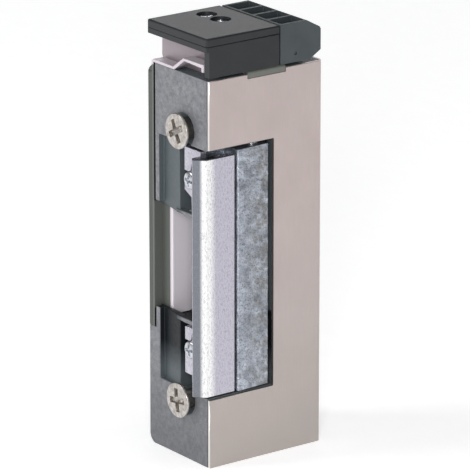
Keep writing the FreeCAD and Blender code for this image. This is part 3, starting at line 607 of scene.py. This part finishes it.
def edged_copy(node: str, name: str, finish: Finish, edge_mm: float,
               segments: int = 2) -> bpy.types.Object:
    """Copy a CAD node, clean its triangles and break its long sharp edges.

    Args:
        node: the CAD node to copy.
        name: name of the new piece.
        finish: the surface finish.
        edge_mm: width of the broken edge.
        segments: faces across the broken edge.

    Returns:
        The new object, with a live bevel that keeps the flats flat.
    """
    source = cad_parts[node].data
    made = bmesh.new()
    made.from_mesh(source)
    bmesh.ops.remove_doubles(made, verts=made.verts, dist=CAD_WELD_M)
    bmesh.ops.dissolve_limit(made, angle_limit=math.radians(FLAT_DEG), verts=made.verts,
                             edges=made.edges)
    weight = made.edges.layers.float.new("bevel_weight_edge")
    for edge in made.edges:
        long_enough = edge.calc_length() > BREAK_LEAST_MM * MM and len(edge.link_faces) == 2
        if long_enough and edge.calc_face_angle(0.0) > math.radians(BREAK_DEG):
            edge[weight] = 1.0
    mesh = bpy.data.meshes.new(name)
    made.to_mesh(mesh)
    made.free()
    mesh.shade_smooth()
    mesh.set_sharp_from_angle(angle=math.radians(CAD_SMOOTH_DEG))
    mesh.materials.append(finish.material())
    obj = bpy.data.objects.new(name, mesh)
    bpy.context.scene.collection.objects.link(obj)
    broken = obj.modifiers.new("broken_edges", "BEVEL")
    broken.width = edge_mm * MM
    broken.segments = segments
    broken.limit_method = "WEIGHT"
    broken.use_clamp_overlap = False
    flat = obj.modifiers.new("flat_faces", "WEIGHTED_NORMAL")
    flat.keep_sharp = True
    return obj


def hand_over(obj: bpy.types.Object, body: str, node: str) -> None:
    """Ride a piece on its body and hide the CAD node that it stands for.

    Args:
        obj: the piece.
        body: the CAD body it moves with.
        node: the CAD node that it replaces.
    """
    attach(obj, body)
    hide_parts(node)
    LOG.info("piece %s rides on %s", obj.name, body)


# ---------------------------------------------------------------------------
# Sub-assemblies
# ---------------------------------------------------------------------------


@dataclass
class Body:
    """Casting and the sheets round it."""

    casting_edge_mm: float = 0.16
    sheet_edge_mm: float = 0.1

    def build(self) -> None:
        """Dress the casting, the cover, the plate and the folded side sheet."""
        for node, name, finish, edge in (
            ("housing", "housing_casting", HOUSING_ZINC, self.casting_edge_mm),
            ("right_cover", "cover_sheet", COVER_STEEL, self.sheet_edge_mm),
            ("left_outer_plate", "outer_plate", PLATE_STEEL, self.sheet_edge_mm),
            ("left_side_sheet", "folded_side_sheet", SIDE_STEEL, self.sheet_edge_mm),
            ("terminal_bracket", "terminal_bracket_sheet", BRACKET_STEEL, self.sheet_edge_mm),
        ):
            hand_over(edged_copy(node, name, finish, edge), "frame", node)


@dataclass
class ScrewHead:
    """A cross-recess screw head as a height field on a disc, with its flank and shank turned below it."""

    WALL_MM: ClassVar[float] = 0.12
    SHALLOW_END: ClassVar[float] = 0.45
    RIM_SHARE: ClassVar[float] = 0.3

    radius: float
    height: float
    shank_radius: float
    shank_end: float
    reach: float
    wing: float
    depth: float
    crown: float = 0.0
    taper: float = 0.0
    rim: float = 0.12
    rings: int = 96
    spokes: int = 216

    def surface(self) -> np.ndarray:
        """Head face over polar rings, then the turned flank.

        Height at (r, a): crown falls with the square of r, less the recess. The recess is deepest on the
        axis, shallows towards the end of each wing, and has steep walls made by a smooth step of the
        distance to the wing's side. The flank is a profile of (radius, height) pairs turned about the axis.

        Returns:
            Array of shape (rows, spokes, 3) in millimetres, axis +Z, with the rim at height zero.
        """
        r = np.linspace(0.0, 1.0, self.rings)[:, None] * (self.radius - self.rim)
        a = np.linspace(0.0, 2 * np.pi, self.spokes, endpoint=False)[None, :]
        x, y = r * np.cos(a), r * np.sin(a)
        face = self.crown * (1 - (r / self.radius) ** 2) * np.ones_like(a)
        cut = np.maximum(self.wing_depth(x, y), self.wing_depth(y, -x))
        top = np.stack([x, y, face - cut], axis=-1)
        roll = self.rim * self.RIM_SHARE
        turned = np.array([
            (self.radius - roll, -roll), (self.radius, -self.rim), (self.radius, -self.height),
            (self.shank_radius, -self.height - self.taper), (self.shank_radius, -self.shank_end),
            (0.0, -self.shank_end)])
        reach, down = turned[:, :1], turned[:, 1:] * np.ones_like(a)
        flank = np.stack([reach * np.cos(a), reach * np.sin(a), down], axis=-1)
        return np.concatenate([top, flank], axis=0)

    def wing_depth(self, along: np.ndarray, across: np.ndarray) -> np.ndarray:
        """Depth cut by one pair of wings.

        Args:
            along: distance along the wing from the axis.
            across: distance to the wing's middle line.

        Returns:
            Depth in millimetres at each point.
        """
        taper = np.clip(1 - np.abs(along) / self.reach, 0.0, 1.0)
        side = np.clip((self.wing / 2 - np.abs(across)) / self.WALL_MM + 0.5, 0.0, 1.0)
        end = np.clip((self.reach - np.abs(along)) / self.WALL_MM, 0.0, 1.0)
        steep = side * side * (3 - 2 * side)
        floor = self.depth * (self.SHALLOW_END + (1 - self.SHALLOW_END) * taper)
        return floor * steep * end

    def build(self, name: str, places: Sequence[tuple[Vector, float]], out: Vector,
              finish: Finish) -> bpy.types.Object:
        """Put the same screw at each place.

        Args:
            name: name of the piece.
            places: centre of each rim in millimetres, and the head's turn in degrees.
            out: direction that the head faces.
            finish: the surface finish.

        Returns:
            One object that holds every screw.
        """
        local = self.surface()
        rows, columns = local.shape[:2]
        quads = grid_faces(rows, columns, True)
        points, faces = [], []
        tilt = np.array(out.to_track_quat("Z", "Y").to_matrix())
        for index, (centre, turn) in enumerate(places):
            c, s = math.cos(math.radians(turn)), math.sin(math.radians(turn))
            spun = local.reshape(-1, 3) @ np.array([[c, s, 0], [-s, c, 0], [0, 0, 1]])
            points.append((spun @ tilt.T + np.array(centre)) * MM)
            faces.append(quads + index * rows * columns)
        return new_object(name, np.concatenate(points), np.concatenate(faces), finish)


@dataclass
class Fixings:
    """Faceplate screws and the screws that clamp the nose."""

    faceplate: ScrewHead = field(default_factory=lambda: ScrewHead(
        radius=3.62, height=0.45, shank_radius=2.0, shank_end=11.4, reach=2.45, wing=1.1, depth=1.7,
        crown=0.12, taper=1.15, rim=0.16))
    clamp: ScrewHead = field(default_factory=lambda: ScrewHead(
        radius=1.85, height=0.95, shank_radius=1.25, shank_end=5.8, reach=1.25, wing=0.5, depth=0.8,
        crown=0.35, rim=0.25))
    faceplate_turns: tuple[float, float] = (8.0, 28.0)
    clamp_turns: tuple[float, float] = (4.0, -8.0)

    def stack(self, node: str, x: float, head: ScrewHead,
              turns: tuple[float, float]) -> list[tuple[Vector, float]]:
        """Place a pair of heads at the bottom and top of their CAD node's box, facing the front.

        Args:
            node: the CAD node of the pair.
            x: the pair's distance from the middle plane in millimetres.
            head: the head, whose crown just reaches the front of the box.
            turns: turn of the lower and the upper head in degrees.

        Returns:
            Centre of each rim and the head's turn.
        """
        low, high = span_mm(node)
        y = low[1] + head.crown
        return [(Vector((x, y, low[2] + head.radius)), turns[0]),
                (Vector((x, y, high[2] - head.radius)), turns[1])]

    def build(self) -> None:
        """Put both kinds of screw where their CAD nodes are."""
        front = Vector((0, -1, 0))
        x = span_mm("fixing_screws")[1][0] - self.faceplate.radius
        places = self.stack("fixing_screws", x, self.faceplate, self.faceplate_turns)
        hand_over(self.faceplate.build("faceplate_screws", places, front, SCREW_NICKEL),
                  "frame", "fixing_screws")
        low, high = span_mm("keeper_clamp_screws")
        places = self.stack("keeper_clamp_screws", (low[0] + high[0]) / 2, self.clamp, self.clamp_turns)
        hand_over(self.clamp.build("nose_clamp_screws", places, front, BRIGHT_SCREW),
                  "keeper", "keeper_clamp_screws")


@dataclass
class Keeper:
    """Swinging lever and the smooth nose clamped to it."""

    lever_edge_mm: float = 0.4
    nose_edge_mm: float = 0.12
    nose_edge_faces: int = 3

    def build(self) -> None:
        """Dress the lever and the nose."""
        hand_over(edged_copy("keeper_lever", "keeper_lever_casting", LEVER_ZINC, self.lever_edge_mm),
                  "keeper", "keeper_lever")
        hand_over(edged_copy("keeper_nose", "keeper_nose_bar", NOSE_ZINC, self.nose_edge_mm,
                             self.nose_edge_faces), "nose", "keeper_nose")


@dataclass
class TerminalUnit:
    """Black cap, its insulator, the terminal screws and the grey plug."""

    edge_mm: float = 0.1
    screw: ScrewHead = field(default_factory=lambda: ScrewHead(
        radius=1.85, height=1.5, shank_radius=1.25, shank_end=4.2, reach=1.5, wing=0.6, depth=0.8,
        rim=0.2))
    turns: tuple[float, float] = (20.0, 65.0)

    def build(self) -> None:
        """Dress the mouldings and put the terminal screws in their wells."""
        for node, name, finish, body in (
            ("terminal_cap", "terminal_cap_moulding", CAP_PLASTIC, "frame"),
            ("terminal_base", "terminal_base_moulding", BASE_PLASTIC, "frame"),
            ("connector_plug", "plug_moulding", PLUG_PLASTIC, "plug"),
        ):
            hand_over(edged_copy(node, name, finish, self.edge_mm), body, node)
        low, high = span_mm("terminal_screws")
        y = (low[1] + high[1]) / 2
        places = [(Vector((low[0] + self.screw.radius, y, high[2])), self.turns[0]),
                  (Vector((high[0] - self.screw.radius, y, high[2])), self.turns[1])]
        hand_over(self.screw.build("terminal_screw_heads", places, Vector((0, 0, 1)), BRIGHT_SCREW),
                  "frame", "terminal_screws")


@dataclass(frozen=True)
class Softbox:
    """A rectangular soft light: where it stands and its size in metres, and its power in watts."""

    name: str
    place: tuple[float, float, float]
    size: tuple[float, float]
    watts: float


@dataclass
class Studio:
    """Pale floor, soft lights and the long-lens camera."""

    azimuth_deg: float = 53.476
    elevation_deg: float = 17.847
    distance: float = 0.9035
    target: tuple[float, float, float] = (0.0, 0.0, 0.040)
    focal_px: float = 4511.7
    frame_px: float = 470.0
    sensor_mm: float = 36.0
    shift: tuple[float, float] = (-0.0016, 0.0374)
    clip: tuple[float, float] = (0.05, 20.0)
    floor_half: float = 2.5
    floor_glow: float = 0.45
    surround: str = "#eef0f4"
    surround_strength: float = 0.16
    lights: tuple[Softbox, ...] = (
        Softbox("key_front_left", (-0.55, -1.0, 0.85), (0.5, 0.7), 6.0),
        Softbox("camera_side", (1.05, -0.85, 0.5), (0.35, 0.5), 10.0),
        Softbox("top", (0.25, 0.2, 1.3), (0.9, 0.9), 4.0),
        Softbox("rear_sheen", (-1.0, 0.75, 0.5), (0.7, 0.35), 1.3),
    )

    def camera(self) -> None:
        """Aim the camera from its azimuth and elevation."""
        a, e = math.radians(self.azimuth_deg), math.radians(self.elevation_deg)
        back = Vector((math.sin(a) * math.cos(e), -math.cos(a) * math.cos(e), math.sin(e)))
        data = bpy.data.cameras.new("camera")
        data.sensor_width = self.sensor_mm
        data.lens = self.focal_px / self.frame_px * data.sensor_width
        data.shift_x, data.shift_y = self.shift
        data.clip_start, data.clip_end = self.clip
        cam = bpy.data.objects.new("camera", data)
        cam.location = Vector(self.target) + back * self.distance
        cam.rotation_euler = (-back).to_track_quat("-Z", "Y").to_euler()
        bpy.context.scene.collection.objects.link(cam)
        bpy.context.scene.camera = cam

    def floor(self) -> None:
        """A wide pale floor at the object's foot, lit from below like a light table."""
        side = np.linspace(-self.floor_half, self.floor_half, 3)
        x, y = np.meshgrid(side, side)
        points = np.stack([x, y, np.zeros_like(x)], axis=-1).reshape(-1, 3)
        paper = MouldedPlastic("floor_paper", "#f6f6f6", "#f2f2f2", 0.8, grain_mm=2.0, depth_mm=0.02)
        obj = new_object("floor", points, grid_faces(len(side), len(side), False), paper)
        shader = next(n for n in obj.active_material.node_tree.nodes if n.type == "BSDF_PRINCIPLED")
        shader.inputs["Emission Color"].default_value = linear("#ffffff")
        shader.inputs["Emission Strength"].default_value = self.floor_glow

    def softbox(self, box: Softbox) -> None:
        """Stand a soft light at its place and aim it at the middle of the object."""
        data = bpy.data.lights.new(box.name, "AREA")
        data.shape = "RECTANGLE"
        data.size, data.size_y = box.size
        data.energy = box.watts
        light = bpy.data.objects.new(box.name, data)
        light.location = Vector(box.place)
        aim = Vector(self.target) - light.location
        light.rotation_euler = aim.to_track_quat("-Z", "Y").to_euler()
        bpy.context.scene.collection.objects.link(light)

    def build(self) -> None:
        """Set up the camera, the floor, the lights and an even surround."""
        self.camera()
        self.floor()
        for box in self.lights:
            self.softbox(box)
        world = bpy.data.worlds.new("surround")
        world.use_nodes = True
        shade = world.node_tree.nodes["Background"]
        shade.inputs["Color"].default_value = linear(self.surround)
        shade.inputs["Strength"].default_value = self.surround_strength
        bpy.context.scene.world = world
        bpy.context.scene.view_settings.view_transform = "Standard"


def dress_frame_nodes() -> None:
    """Give each CAD node that stays in view its own finish."""
    for node, finish in NODE_FINISH.items():
        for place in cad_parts[node].material_slots:
            place.material = finish.material()
        LOG.info("node %s wears %s", node, finish.name)


def main() -> None:
    """Build every sub-assembly."""
    logging.basicConfig(level=logging.INFO, format="%(message)s")
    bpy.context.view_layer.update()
    Studio().build()
    dress_frame_nodes()
    for assembly in (Body(), Fixings(), Keeper(), TerminalUnit()):
        assembly.build()
        LOG.info("built %s", type(assembly).__name__)


if __name__ == "__main__":
    main()
